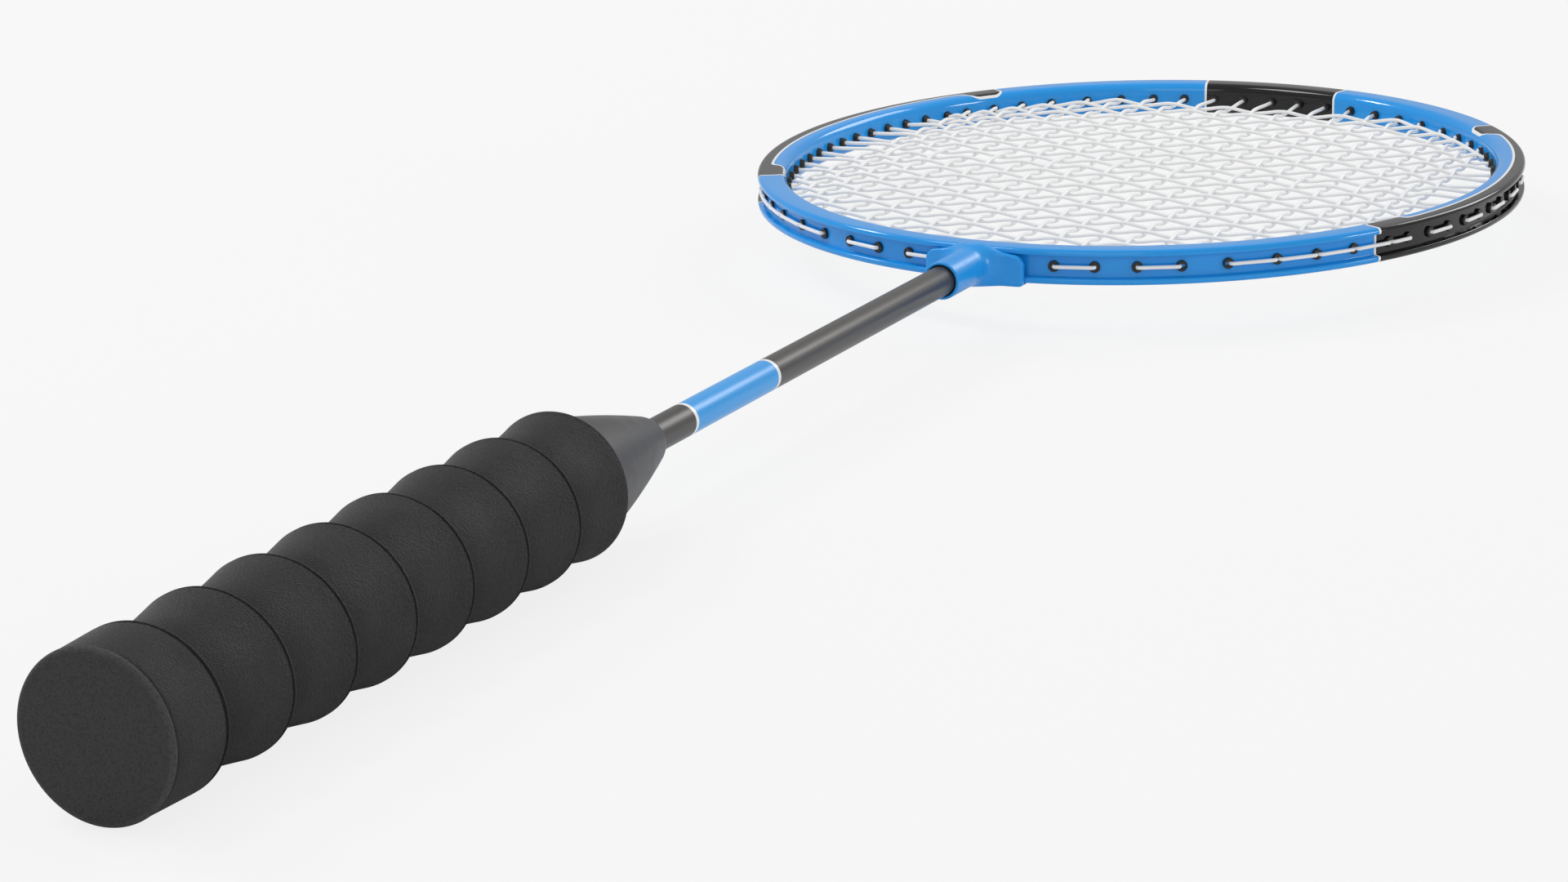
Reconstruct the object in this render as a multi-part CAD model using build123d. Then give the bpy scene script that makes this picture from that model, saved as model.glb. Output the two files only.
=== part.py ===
from build123d import *
import math
import os

# Badminton racket. Millimetres. Origin at the centre of the flat butt face, +Y along the
# shaft to the head's tip, +Z square to the string bed, X across the head.

# overall
racket_length = 675.0
head_length = 257.0            # outside of the oval, along the shaft
head_width = 227.0             # outside of the oval, across the shaft

# head frame section
frame_width = 8.7              # in the plane of the strings
frame_height = 9.9             # square to the strings
frame_wall = 1.0
groove_depth = 1.7             # string groove in the outer face
groove_mouth = 6.0
groove_floor = 4.6
inner_chamfer = 1.5            # breaks the section's corners towards the strings
lip_chamfer = 0.8              # and beside the groove

# strings
string_diameter = 1.1
string_sides = 4
string_gap = 0.1               # air between two strings that cross
inner_mains = 7                # evenly spaced mains, each side of the middle one
outer_pitches = (7.38, 6.5, 5.9)  # between the mains past those, narrowing to the side
side_margin = 18.1             # from the last main to the frame's inside at its widest
throat_spread = 1.055          # how much wider the mains stand at the throat
cross_rows = 12                # each side of the middle cross
end_margin = 16.6              # from the last cross to the frame's inside at the tip
last_tip_row = 7               # rows past this one share the grommets of mains
last_throat_row = -6
bend_radius = 0.7              # where a string turns out of its grommet
end_tuck = 1.0                 # a string's end lies this far inside the grommet

# grommets
grommet_bore = 1.25            # radius over corners, room for two strings
grommet_wall = 0.27
grommet_sides = 6              # its hole in the frame has as many
grommet_collar = 1.4           # stands out of the inner wall
flange_radius = 1.75
flange_thickness = 0.3
grommet_clearance = 0.05       # round the barrel and under the flange

# shaft and joint
shaft_diameter = 8.2
shaft_wall = 1.0
shaft_start = 20.0             # inside the handle
shaft_end_gap = 8.0            # from the shaft's end to the frame
slip_clearance = 0.05          # round the shaft in each of its seats
sleeve_diameter = 10.5
sleeve_length = 23.7           # from its mouth to the frame
mouth_depth = 5.0              # counterbore at the sleeve's mouth
mouth_wall = 0.5
saddle_half_length = 14.0      # along the frame, each side of the shaft
saddle_thickness = 2.0         # outside the frame
saddle_drop = 5.9              # how far its skirt reaches below the string plane
skirt_reach = 2.4              # how far the skirt goes in under the frame
saddle_gap = 0.15              # between saddle and frame
saddle_top = 2.8               # its top edge lies just under the frame's upper lip
saddle_corner = 2.2            # rounding of its four corners
neck_fillet = 5.0              # flare from the sleeve into the saddle
saddle_ridge = 2.0             # half width of the saddle's top where it meets the sleeve
saddle_slope = 8.0             # half width over which it falls to its top edge
saddle_root = 0.5              # how far tongue and skirt run into the saddle
string_relief = 1.9            # half height of the slot that clears strings and grommets
relief_depth = 0.3             # of that slot in the saddle

# handle
core_sides = 8                 # of the wooden core
core_flats = 25.0              # its size across flats
core_start = 3.1
core_end = 175.0
turns = 8
first_lip = 18.0
turn_pitch = 23.2
lip_radius = 18.4              # at the butt
lip_taper = 0.12               # less at each turn
valley_depth = 1.25            # from a lip down to the valley that follows it
valley_run = 5.0               # from a lip to the bottom of that valley
lip_edge = 0.45                # slope at the top of each lip
butt_radius = 18.4
butt_thickness = 3.0
butt_edge = 1.6
cone_base_radius = 16.2
cone_tip_radius = 5.9
cone_tip = 221.5
cone_bulge = 0.65              # of the ogive over a straight cone
cone_steps = 4                 # straight stretches along the ogive
cone_seat = 2.0                # straight length of the cone inside the last lip
pad_clearance = 0.05           # between the padded grip and what it sits on

cut_margin = 1.0               # cutting shapes reach this far past what they cut

# worked out from the sizes above
head_centre = racket_length - head_length / 2
middle_a = (head_length - frame_width) / 2
middle_b = (head_width - frame_width) / 2
inside_a = head_length / 2 - frame_width
inside_b = head_width / 2 - frame_width
main_pitch = (inside_b - side_margin - sum(outer_pitches)) / inner_mains
cross_pitch = (inside_a - end_margin) / cross_rows
floor_height = frame_width - groove_depth
run_height = floor_height + grommet_clearance + flange_thickness + string_diameter / 2 + string_gap
string_lift = (string_diameter + string_gap / 2) / 2
weave_height = string_diameter + string_gap
bore_radius = grommet_bore + grommet_wall + grommet_clearance
main_count = inner_mains + len(outer_pitches)
handle_end = first_lip + turn_pitch * (turns - 1)


# ---- the oval and its string holes ----

def wall_plane(x, y):
    """A hole's own frame: on the inner wall, z outwards, x up, y along the frame."""
    normal = Vector(x / inside_b ** 2, y / inside_a ** 2, 0)
    return Plane(origin=(x, head_centre + y, 0), x_dir=(0, 0, 1), z_dir=normal)


def main_at(main, height):
    """A main's distance from the middle; height is -1 at the throat and 1 at the tip."""
    inner, outer = min(abs(main), inner_mains), max(abs(main) - inner_mains, 0)
    place = main_pitch * inner + sum(outer_pitches[:outer])
    spread = 1 + (throat_spread - 1) * (1 - height) / 2
    return math.copysign(place * spread, main)


def main_hole(main, end):
    """Hole of a main string at the tip (end = 1) or the throat (end = -1)."""
    x = main_at(main, end)
    return wall_plane(x, end * inside_a * math.sqrt(1 - (x / inside_b) ** 2))


def shared_main(row):
    """The main whose grommet a cross string shares, or None where it has its own."""
    if row > last_tip_row:
        return main_count - (row - last_tip_row - 1)
    if row < last_throat_row:
        return main_count - (last_throat_row - row - 1)
    return None


def cross_hole(row, side):
    """Hole of a cross string on the left (side = -1) or the right (side = 1)."""
    shared = shared_main(row)
    if shared is not None:
        return main_hole(side * shared, math.copysign(1, row))
    y = row * cross_pitch
    return wall_plane(side * inside_b * math.sqrt(1 - (y / inside_a) ** 2), y)


mains = range(-main_count, main_count + 1)
rows = range(-cross_rows, cross_rows + 1)
own_rows = [row for row in rows if shared_main(row) is None]
tip_holes = [main_hole(main, 1) for main in mains]
throat_holes = [main_hole(main, -1) for main in mains]
left_holes = [cross_hole(row, -1) for row in own_rows]
right_holes = [cross_hole(row, 1) for row in own_rows]


# ---- head frame ----

def frame_section():
    """Grooved tube section, x away from the strings and y square to them."""
    outline = Rectangle(frame_width, frame_height)
    outline = chamfer(outline.vertices().group_by(Axis.X)[0], inner_chamfer)
    outline = chamfer(outline.vertices().group_by(Axis.X)[-1], lip_chamfer)
    edge = frame_width / 2
    groove = Polygon(
        (edge - groove_depth, -groove_floor / 2), (edge + cut_margin, -groove_mouth / 2),
        (edge + cut_margin, groove_mouth / 2), (edge - groove_depth, groove_floor / 2), align=None)
    inside = Rectangle(frame_width - groove_depth - 2 * frame_wall, frame_height - 2 * frame_wall)
    inside = chamfer(inside.vertices(), inner_chamfer - frame_wall / 2)
    return outline - groove - Pos(-groove_depth / 2) * inside


def head_frame():
    weld = math.degrees(cross_pitch / 2 / middle_b)
    oval = Plane(origin=(0, head_centre, 0))
    halves = [Edge.make_ellipse(middle_b, middle_a, oval, turn + weld, turn + weld + 180) for turn in (0, 180)]
    rim = Wire(halves)
    tangent = rim % 0
    start = Plane(origin=rim @ 0, x_dir=(tangent.Y, -tangent.X, 0), z_dir=tangent)
    tube = sweep(start * frame_section(), path=rim)
    bore = RegularPolygon(bore_radius, grommet_sides)
    drill = Pos(0, 0, -cut_margin) * extrude(bore, frame_width + 2 * cut_margin)
    holes = tip_holes + throat_holes + left_holes + right_holes
    return tube - [hole * drill for hole in holes]


# ---- grommets ----

def grommet():
    """Bush along z from the inner wall at z = 0, its flange on the groove's floor."""
    seat = floor_height + grommet_clearance
    barrel = extrude(RegularPolygon(grommet_bore + grommet_wall, grommet_sides), seat + grommet_collar)
    flange = Pos(0, 0, seat) * extrude(RegularPolygon(flange_radius, grommet_sides), flange_thickness)
    bore = extrude(RegularPolygon(grommet_bore, grommet_sides), run_height + grommet_collar)
    return Pos(0, 0, -grommet_collar) * (barrel - bore) + (flange - bore)


def grommet_group(holes):
    bush = grommet()
    return Compound([hole.location * bush for hole in holes])


# ---- strings ----

def string_solid(points):
    """String with flat sides along a list of points, mitred at each of them."""
    steps = [(b - a).normalized() for a, b in zip(points, points[1:])]
    across = steps[0].cross(Vector(0, 0, 1)).normalized()
    up = across.cross(steps[0])
    corners = [2 * math.pi * i / string_sides for i in range(string_sides)]
    radius = string_diameter / 2
    ring = [points[0] + across * (radius * math.cos(c)) + up * (radius * math.sin(c)) for c in corners]
    rings = [ring]
    for i, step in enumerate(steps):
        mitre = step if i == len(steps) - 1 else step + steps[i + 1]
        end = points[i + 1]
        ring = [v + step * ((end - v).dot(mitre) / step.dot(mitre)) for v in ring]
        rings.append(ring)
    faces = [Face(Wire.make_polygon(rings[0])), Face(Wire.make_polygon(rings[-1]))]
    for near, far in zip(rings, rings[1:]):
        for i in range(string_sides):
            k = (i + 1) % string_sides
            faces.append(Face(Wire.make_polygon([near[i], near[k], far[k], far[i]])))
    return Solid(Shell(faces))


def hole_point(hole, lift, outwards):
    return hole.from_local_coords(Vector(lift, 0, outwards))


def outside_run(hole, lift, next_hole, next_lift):
    """Out through one grommet, along the groove and in through the next."""
    first = hole_point(hole, lift, run_height)
    last = hole_point(next_hole, next_lift, run_height)
    along = (last - first).normalized()
    soft = bend_radius * (1 - math.sqrt(0.5))
    return [
        hole_point(hole, lift, run_height - bend_radius),
        hole_point(hole, lift, run_height - soft) + along * soft,
        first + along * bend_radius,
        last - along * bend_radius,
        hole_point(next_hole, next_lift, run_height - soft) - along * soft,
        hole_point(next_hole, next_lift, run_height - bend_radius)]


def crossed_rows(main):
    """Rows that a main crosses, from the throat to the tip."""
    return [row for row in rows if shared_main(row) is None or abs(main) < shared_main(row)]


def main_lift(main, end):
    """Mains lie above the cross string where the two share a grommet."""
    shared = [shared_main(row) for row in rows if row * end > 0 and shared_main(row)]
    return string_lift if abs(main) in shared else 0.0


def main_stretch(main, end):
    """A main's points inside the head, from the given end to the other."""
    points = []
    for here in (end, -end):
        mouth = hole_point(main_hole(main, here), main_lift(main, here), -grommet_collar)
        row = crossed_rows(main)[-1 if here > 0 else 0]
        height = row * cross_pitch / inside_a
        crossing = Vector(main_at(main, height), head_centre + row * cross_pitch, 0)
        points += [mouth, crossing] if here == end else [crossing, mouth]
    return points


def laced_mains(order, start):
    """One string through the mains of a list, from its start end of the first of them."""
    end = start
    points = [hole_point(main_hole(order[0], end), main_lift(order[0], end), floor_height - end_tuck)]
    for main, following in zip(order, order[1:] + [None]):
        points += main_stretch(main, end)
        end = -end
        hole, lift = main_hole(main, end), main_lift(main, end)
        if following is None:
            points.append(hole_point(hole, lift, floor_height - end_tuck))
        else:
            points += outside_run(hole, lift, main_hole(following, end), main_lift(following, end))
    return string_solid(points)


def cross_stretch(row, side):
    """A cross string's points inside the head, woven over and under the mains."""
    reach = main_count if shared_main(row) is None else shared_main(row) - 1
    half = 1 if row > 0 else -1
    points = [hole_point(cross_hole(row, side), cross_lift(row), -grommet_collar)]
    for main in range(side * reach, -side * (reach + 1), -side):
        under = half * (-1) ** (main + row)
        height = row * cross_pitch / inside_a
        points.append(Vector(main_at(main, height), head_centre + row * cross_pitch, -under * weave_height))
    points.append(hole_point(cross_hole(row, -side), cross_lift(row), -grommet_collar))
    return points


def cross_lift(row):
    return 0.0 if shared_main(row) is None else -string_lift


def laced_crosses():
    """The cross string, from the tip's left to the throat's right."""
    side = -1
    points = [hole_point(cross_hole(cross_rows, side), cross_lift(cross_rows), floor_height - end_tuck)]
    for row in range(cross_rows, -cross_rows - 1, -1):
        points += cross_stretch(row, side)
        side = -side
        hole, lift = cross_hole(row, side), cross_lift(row)
        if row == -cross_rows:
            points.append(hole_point(hole, lift, floor_height - end_tuck))
        else:
            points += outside_run(hole, lift, cross_hole(row - 1, side), cross_lift(row - 1))
    return string_solid(points)


def main_strings():
    """The middle mains are one string; the outer ones of each side are another."""
    middle = list(range(inner_mains - 1, -inner_mains + 1, -1))
    right = list(range(inner_mains, main_count + 1))
    left = list(range(-inner_mains + 1, -main_count - 1, -1))
    return Compound([laced_mains(middle, -1), laced_mains(right, 1), laced_mains(left, 1)])


# ---- shaft and T joint ----

throat = racket_length - head_length
sleeve_start = throat - sleeve_length
shaft_end = throat - shaft_end_gap


def along_y(radius, start, end):
    return Pos(0, start, 0) * Rot(-90, 0, 0) * Cylinder(
        radius, end - start, align=(Align.CENTER, Align.CENTER, Align.MIN))


def shaft():
    outer = shaft_diameter / 2
    return along_y(outer, shaft_start, shaft_end) - along_y(outer - shaft_wall, shaft_start, shaft_end)


def rim_band(inner, outer, low, high):
    """Part of the throat's curve between two offsets from the frame's outside."""
    ring = Ellipse(head_width / 2 + outer, head_length / 2 + outer)
    ring -= Ellipse(head_width / 2 + inner, head_length / 2 + inner)
    window = Pos(0, -head_length / 2) * Rectangle(2 * saddle_half_length, head_length / 2)
    return Pos(0, head_centre, low) * extrude(ring & window, high - low)


def t_joint():
    """Sleeve for the shaft, flared into a saddle that seats on the frame's outer face."""
    plate = rim_band(saddle_gap, saddle_thickness, -saddle_drop, saddle_drop)
    body = plate + along_y(sleeve_diameter / 2, sleeve_start, throat - saddle_thickness / 2)
    body = fillet(body.edges().filter_by(GeomType.BSPLINE), neck_fillet)
    shoulder, beyond = sleeve_diameter / 2, saddle_half_length + cut_margin
    right_half = [
        (saddle_ridge, shoulder), (saddle_slope, saddle_top), (beyond, saddle_top), (beyond, 2 * shoulder)]
    left_half = [(-x, z) for x, z in reversed(right_half)]
    roof = Polygon(*right_half, *left_half, align=None)
    body -= Pos(0, throat + saddle_half_length, 0) * extrude(Plane.XZ * roof, 2 * saddle_half_length)
    corners = [edge for edge in body.edges().filter_by(Axis.Y) if abs(edge.center().X) > sleeve_diameter]
    body = fillet(corners, saddle_corner)
    half_tongue = groove_floor / 2 - saddle_gap
    root = saddle_gap + saddle_root
    tongue = rim_band(saddle_gap - groove_depth, root, -half_tongue, half_tongue)
    skirt = rim_band(-skirt_reach, root, -saddle_drop, -frame_height / 2 - saddle_gap)
    relief = rim_band(-groove_depth - cut_margin, saddle_gap + relief_depth, -string_relief, string_relief)
    seat = along_y(shaft_diameter / 2 + slip_clearance, sleeve_start, shaft_end + slip_clearance)
    mouth = along_y(sleeve_diameter / 2 - mouth_wall, sleeve_start, sleeve_start + mouth_depth)
    return body + tongue + skirt - relief - seat - mouth


def octagon(across_flats, start, end):
    corners = across_flats / 2 / math.cos(math.pi / core_sides)
    prism = extrude(RegularPolygon(corners, core_sides), end - start)
    return Pos(0, start, 0) * Rot(-90, 0, 0) * prism


def handle_core():
    bore = along_y(shaft_diameter / 2 + slip_clearance, shaft_start, core_end)
    return octagon(core_flats, core_start, core_end) - bore


def grip_wrap():
    """Padded grip: each turn flares from a valley up to a lip."""
    outline = [(lip_radius - lip_edge, butt_thickness + pad_clearance)]
    for turn in range(turns):
        y, radius = first_lip + turn_pitch * turn, lip_radius - lip_taper * turn
        outline += [(radius, y - lip_edge), (radius - lip_edge, y)]
        if turn < turns - 1:
            outline.append((radius - valley_depth, y + valley_run))
    outline += [(0, handle_end), (0, outline[0][1])]
    body = revolve(Polygon(*outline, align=None), Axis.Y)
    core = octagon(core_flats + 2 * pad_clearance, 0, core_end)
    socket = along_y(cone_base_radius + pad_clearance, core_end, handle_end + cut_margin)
    return body - core - socket


def cone_cap():
    """Ogive that covers the handle's end and hugs the shaft."""
    shoulder, base = (cone_base_radius, handle_end - cone_seat), (cone_base_radius, core_end + pad_clearance)
    slope = []
    for i in range(cone_steps + 1):
        share = i / cone_steps
        radius = shoulder[0] + share * (cone_tip_radius - shoulder[0]) + 4 * cone_bulge * share * (1 - share)
        slope.append((radius, shoulder[1] + share * (cone_tip - shoulder[1])))
    outline = Polygon(base, *slope, (0, cone_tip), (0, base[1]), align=None)
    cone = revolve(outline, Axis.Y)
    return cone - along_y(shaft_diameter / 2 + slip_clearance, core_end, cone_tip)


def butt_cap():
    disc = along_y(butt_radius, 0, butt_thickness)
    return fillet(disc.edges().group_by(Axis.Y)[0], butt_edge)


nodes = {
    "head_frame": head_frame,
    "tip_grommets": lambda: grommet_group(tip_holes),
    "throat_grommets": lambda: grommet_group(throat_holes),
    "left_grommets": lambda: grommet_group(left_holes),
    "right_grommets": lambda: grommet_group(right_holes),
    "main_strings": main_strings,
    "cross_strings": laced_crosses,
    "t_joint": t_joint,
    "shaft": shaft,
    "cone_cap": cone_cap,
    "handle_core": handle_core,
    "grip_wrap": grip_wrap,
    "butt_cap": butt_cap,
}

if __name__ == "__main__":
    os.makedirs("parts", exist_ok=True)
    for name, make in nodes.items():
        export_step(make(), f"parts/{name}.step")
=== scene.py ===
import math

import bmesh
import bpy
import numpy as np
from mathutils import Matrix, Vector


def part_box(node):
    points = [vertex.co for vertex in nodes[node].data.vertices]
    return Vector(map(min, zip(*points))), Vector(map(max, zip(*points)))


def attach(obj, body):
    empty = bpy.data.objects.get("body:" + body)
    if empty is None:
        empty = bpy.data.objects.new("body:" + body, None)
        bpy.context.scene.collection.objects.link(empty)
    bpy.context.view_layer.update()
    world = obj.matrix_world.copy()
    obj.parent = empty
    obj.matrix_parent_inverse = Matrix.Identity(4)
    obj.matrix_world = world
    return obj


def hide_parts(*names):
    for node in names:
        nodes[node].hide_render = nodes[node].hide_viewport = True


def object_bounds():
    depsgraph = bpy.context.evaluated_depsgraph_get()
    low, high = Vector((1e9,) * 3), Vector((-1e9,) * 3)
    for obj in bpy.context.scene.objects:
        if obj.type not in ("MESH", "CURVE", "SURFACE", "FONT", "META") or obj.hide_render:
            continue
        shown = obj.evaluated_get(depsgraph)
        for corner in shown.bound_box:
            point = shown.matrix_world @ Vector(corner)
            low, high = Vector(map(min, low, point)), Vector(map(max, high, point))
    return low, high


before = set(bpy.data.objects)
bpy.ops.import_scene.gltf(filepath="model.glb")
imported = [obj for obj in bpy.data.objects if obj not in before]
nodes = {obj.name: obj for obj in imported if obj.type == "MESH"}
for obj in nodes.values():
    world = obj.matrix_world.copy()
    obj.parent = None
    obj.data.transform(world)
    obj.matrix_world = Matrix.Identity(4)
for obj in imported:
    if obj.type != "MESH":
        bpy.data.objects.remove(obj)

import openvdb
from mathutils import Matrix, Vector

mm = 0.001
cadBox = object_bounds()
print("frame loaded:", len(nodes), "nodes")


# small helpers used by every piece

def placeMesh(name, points, faces=(), edges=()):
    mesh = bpy.data.meshes.new(name)
    mesh.from_pydata([tuple(p) for p in points], edges, faces)
    mesh.update()
    piece = bpy.data.objects.new(name, mesh)
    bpy.context.scene.collection.objects.link(piece)
    return piece


def faceOutwards(piece):
    work = bmesh.new()
    work.from_mesh(piece.data)
    bmesh.ops.remove_doubles(work, verts=work.verts, dist=0.002 * mm)
    bmesh.ops.recalc_face_normals(work, faces=work.faces)
    work.to_mesh(piece.data)
    work.free()


def softShade(piece, sharpAngle):
    piece.data.shade_smooth()
    piece.data.set_sharp_from_angle(angle=math.radians(sharpAngle))


# (x, y, radius) corners of an open line, each rounded by its radius
def roundOff(corners, steps=6):
    line = []
    for i, (x, y, radius) in enumerate(corners):
        here = Vector((x, y))
        if not radius or i in (0, len(corners) - 1):
            line.append(here)
            continue
        back = (Vector(corners[i - 1][:2]) - here).normalized()
        ahead = (Vector(corners[i + 1][:2]) - here).normalized()
        half = back.angle(ahead) / 2
        reach = radius / math.tan(half)
        centre = here + (back + ahead).normalized() * radius / math.sin(half)
        start, end = here + back * reach - centre, here + ahead * reach - centre
        turn = start.angle_signed(end)
        line += [centre + Matrix.Rotation(-turn * k / steps, 2) @ start for k in range(steps + 1)]
    return line


# turns a line of (radius, y) about the shaft's axis; a radius of 0 closes to a point
def spinAboutShaft(name, line, sides):
    points, rings = [], []
    for radius, y in line:
        if radius < 1e-9:
            rings.append([len(points)])
            points.append((0, y, 0))
            continue
        rings.append(list(range(len(points), len(points) + sides)))
        for k in range(sides):
            a = 2 * math.pi * k / sides
            points.append((radius * math.cos(a), y, radius * math.sin(a)))
    faces = []
    for near, far in zip(rings, rings[1:]):
        for k in range(sides):
            m = (k + 1) % sides
            corners = [near[k % len(near)], near[m % len(near)],
                       far[m % len(far)], far[k % len(far)]]
            faces.append(tuple(dict.fromkeys(corners)))
    piece = placeMesh(name, points, faces)
    faceOutwards(piece)
    return piece


def rideFrame(piece, slotName, *replaced):
    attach(piece, "root")
    if replaced:
        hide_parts(*replaced)


# geometry node trees

def startTree(name, inputs):
    tree = bpy.data.node_groups.new(name, "GeometryNodeTree")
    tree.interface.new_socket("Geometry", in_out="INPUT", socket_type="NodeSocketGeometry")
    for label, kind in inputs:
        tree.interface.new_socket(label, in_out="INPUT", socket_type="NodeSocket" + kind)
    tree.interface.new_socket("Geometry", in_out="OUTPUT", socket_type="NodeSocketGeometry")
    return tree, tree.nodes.new("NodeGroupInput"), tree.nodes.new("NodeGroupOutput")


# an input takes a link or a plain value
def feed(tree, socket, value):
    if isinstance(value, bpy.types.NodeSocket):
        tree.links.new(value, socket)
    else:
        socket.default_value = value


# adds a node, sets its properties and feeds its inputs, by name or number
def addNode(tree, kind, links=None, **settings):
    node = tree.nodes.new(kind)
    for key, value in settings.items():
        setattr(node, key, value)
    for key, value in (links or {}).items():
        feed(tree, node.inputs[key], value)
    return node


def calc(tree, operation, *values):
    node = addNode(tree, "ShaderNodeMath", operation=operation)
    for socket, value in zip(node.inputs, values):
        feed(tree, socket, value)
    return node.outputs[0]


def hypotenuse(tree, a, b):
    squares = calc(tree, "MULTIPLY", a, a), calc(tree, "MULTIPLY", b, b)
    return calc(tree, "SQRT", calc(tree, "ADD", *squares))


# the end of every tree: real mesh, with its material
def dressMesh(tree, start, end, geometry):
    solid = addNode(tree, "GeometryNodeRealizeInstances", {"Geometry": geometry})
    dressed = addNode(tree, "GeometryNodeSetMaterial", {
        "Geometry": solid.outputs[0], "Material": start.outputs["Material"]})
    tree.links.new(dressed.outputs[0], end.inputs[0])


# runs a tree on a piece and keeps the result as its plain mesh
def growPiece(piece, tree, values):
    modifier = piece.modifiers.new(tree.name, "NODES")
    modifier.node_group = tree
    for item in tree.interface.items_tree:
        if item.in_out == "INPUT" and item.name in values:
            modifier[item.identifier] = values[item.name]
    graph = bpy.context.evaluated_depsgraph_get()
    mesh = bpy.data.meshes.new_from_object(piece.evaluated_get(graph), depsgraph=graph)
    piece.modifiers.clear()
    piece.data = mesh
    return piece


# materials

def newMaterial(name):
    material = bpy.data.materials.new(name)
    material.use_nodes = True
    tree = material.node_tree
    shader = tree.nodes["Principled BSDF"]
    return material, tree, shader


def mixColours(tree, amount, first, second):
    node = addNode(tree, "ShaderNodeMix", data_type="RGBA")
    for number, value in ((0, amount), (6, first), (7, second)):   # the inputs for colours
        feed(tree, node.inputs[number], value)
    return node.outputs[2]


def spread(tree, value, low, high, toLow, toHigh, smooth=False):
    kind = "SMOOTHSTEP" if smooth else "LINEAR"
    node = addNode(tree, "ShaderNodeMapRange", {
        "Value": value, "From Min": low, "From Max": high, "To Min": toLow, "To Max": toHigh},
        interpolation_type=kind)
    return node.outputs[0]


def inMillimetres(tree, attribute):
    found = addNode(tree, "ShaderNodeAttribute", attribute_name=attribute)
    return calc(tree, "MULTIPLY", found.outputs["Fac"], 1000)


def objectPlace(tree, scale=(1, 1, 1)):
    place = addNode(tree, "ShaderNodeTexCoord").outputs["Object"]
    return addNode(tree, "ShaderNodeMapping", {"Vector": place, "Scale": scale}).outputs[0]


def speckle(tree, place, scale, detail=3.0, roughness=0.55):
    return addNode(tree, "ShaderNodeTexNoise", {
        "Vector": place, "Scale": scale, "Detail": detail, "Roughness": roughness}).outputs["Fac"]


def bumpFrom(tree, shader, height, strength, distance, before=None):
    links = {"Height": height, "Strength": strength, "Distance": distance}
    if before:
        links["Normal"] = before
    bump = addNode(tree, "ShaderNodeBump", links)
    tree.links.new(bump.outputs[0], shader.inputs["Normal"])
    return bump.outputs[0]


colours = {
    "blue": (0.010, 0.310, 0.810, 1),
    "blueLight": (0.014, 0.325, 0.835, 1),
    "bandBlue": (0.030, 0.350, 0.830, 1),
    "black": (0.004, 0.004, 0.004, 1),
    "white": (0.90, 0.90, 0.90, 1),
    "shaftGrey": (0.086, 0.083, 0.080, 1),
    "shaftStreak": (0.102, 0.098, 0.094, 1),
    "coneGrey": (0.040, 0.040, 0.042, 1),
    "coneWorn": (0.046, 0.046, 0.048, 1),
    "gripBlack": (0.009, 0.009, 0.009, 1),
    "gripWorn": (0.015, 0.015, 0.015, 1),
    "buttGrey": (0.036, 0.036, 0.036, 1),
    "buttRim": (0.052, 0.052, 0.052, 1),
    "nylonBlack": (0.006, 0.006, 0.006, 1),
    "nylonWorn": (0.016, 0.016, 0.017, 1),
    "stringWhite": (0.92, 0.92, 0.92, 1),
    "stringShade": (0.90, 0.90, 0.90, 1),
    "coreWood": (0.45, 0.30, 0.16, 1),
    "coreGrain": (0.34, 0.21, 0.10, 1),
    "floorPale": (0.80, 0.80, 0.80, 1),
    "floorPaler": (0.82, 0.82, 0.82, 1),
}


# head frame

frameLow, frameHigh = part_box("head_frame")
headFrame = {
    "width": 8.7 * mm,            # of the section, across the string plane
    "height": frameHigh.z - frameLow.z,
    "innerRounding": 2.6 * mm,
    "lipRounding": 1.15 * mm,
    "grooveDepth": 2.0 * mm,
    "grooveMouth": 6.4 * mm,
    "grooveFloor": 5.9 * mm,
    "mouthRounding": 0.48 * mm,
    "floorRounding": 0.35 * mm,
    "rimSteps": 720,
}
headCentre = (frameLow.y + frameHigh.y) / 2
rimLong = (frameHigh.y - frameLow.y - headFrame["width"]) / 2
rimWide = (frameHigh.x - frameLow.x - headFrame["width"]) / 2

# where the black areas lie: mm along the rim from the tip, mm across the section from its middle
paintPlan = {
    "tipHalf": 23.3,
    "hook": (94.7, 107.8, -3.6),
    "hookRounding": 3.6,
    "band": (104.0, 240.0),
    "bandStart": 1.5,
    "bandEdge": 0.3,
    "bandEases": (110.0, 172.0),
    "foot": (236.5, 251.2, -3.7),
    "footRounding": 3.4,
    "blend": 4.0,
    "pinstripe": 0.75,
}


def frameProfile():
    s = headFrame
    inner, outer, top = -s["width"] / 2, s["width"] / 2, s["height"] / 2
    mouth, floor = s["grooveMouth"] / 2, s["grooveFloor"] / 2
    depth = outer - s["grooveDepth"]
    half = [
        (inner, 0, 0), (inner, top, s["innerRounding"]), (outer, top, s["lipRounding"]),
        (outer, mouth, s["mouthRounding"]), (depth, floor, s["floorRounding"]), (depth, 0, 0)]
    line = roundOff(half, 8)
    line += [Vector((p.x, -p.y)) for p in reversed(line[1:-1])]
    ring = placeMesh("frameProfile", [(p.x, p.y, 0) for p in line],
                     edges=[(i, (i + 1) % len(line)) for i in range(len(line))])
    return ring


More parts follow.
